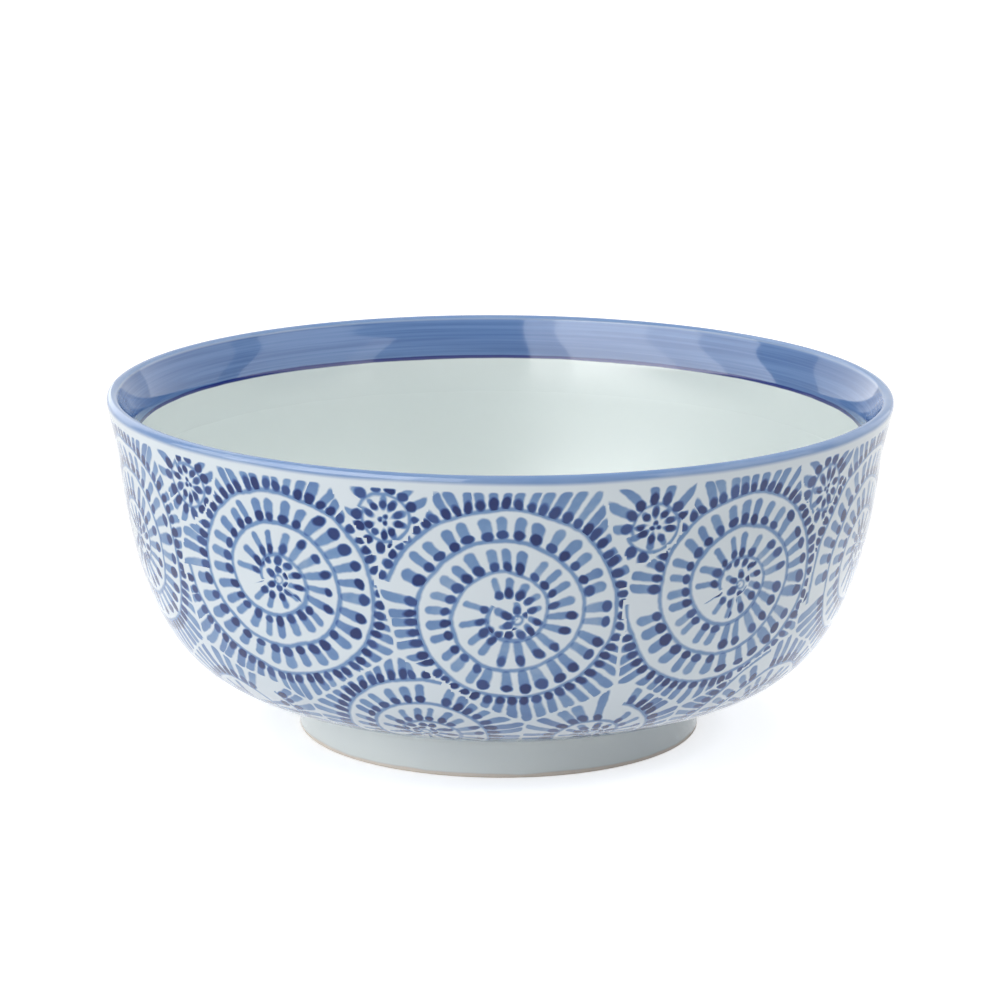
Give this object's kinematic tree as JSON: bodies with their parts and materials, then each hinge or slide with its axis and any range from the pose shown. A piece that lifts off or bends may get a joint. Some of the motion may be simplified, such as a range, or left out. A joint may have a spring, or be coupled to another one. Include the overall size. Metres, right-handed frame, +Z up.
{
  "type": "serving bowl",
  "caption": "Deep round porcelain serving bowl with a steep wall, a rounded, slightly flared lip and a low foot ring.",
  "frame": {"origin": "centre of the circle that the foot ring stands on, on the table plane", "axes": "+Z up along the bowl's axis of revolution, out of the mouth; +X and +Y are level, and -Y faces the viewer"},
  "size_m": [0.24, 0.24, 0.1055],
  "materials": {
    "painted_glaze": "gloss",
    "plain_glaze": "gloss"
  },
  "bodies": {
    "root": {"bowl_body": "painted_glaze", "foot_ring": "plain_glaze"}
  },
  "joints": []
}
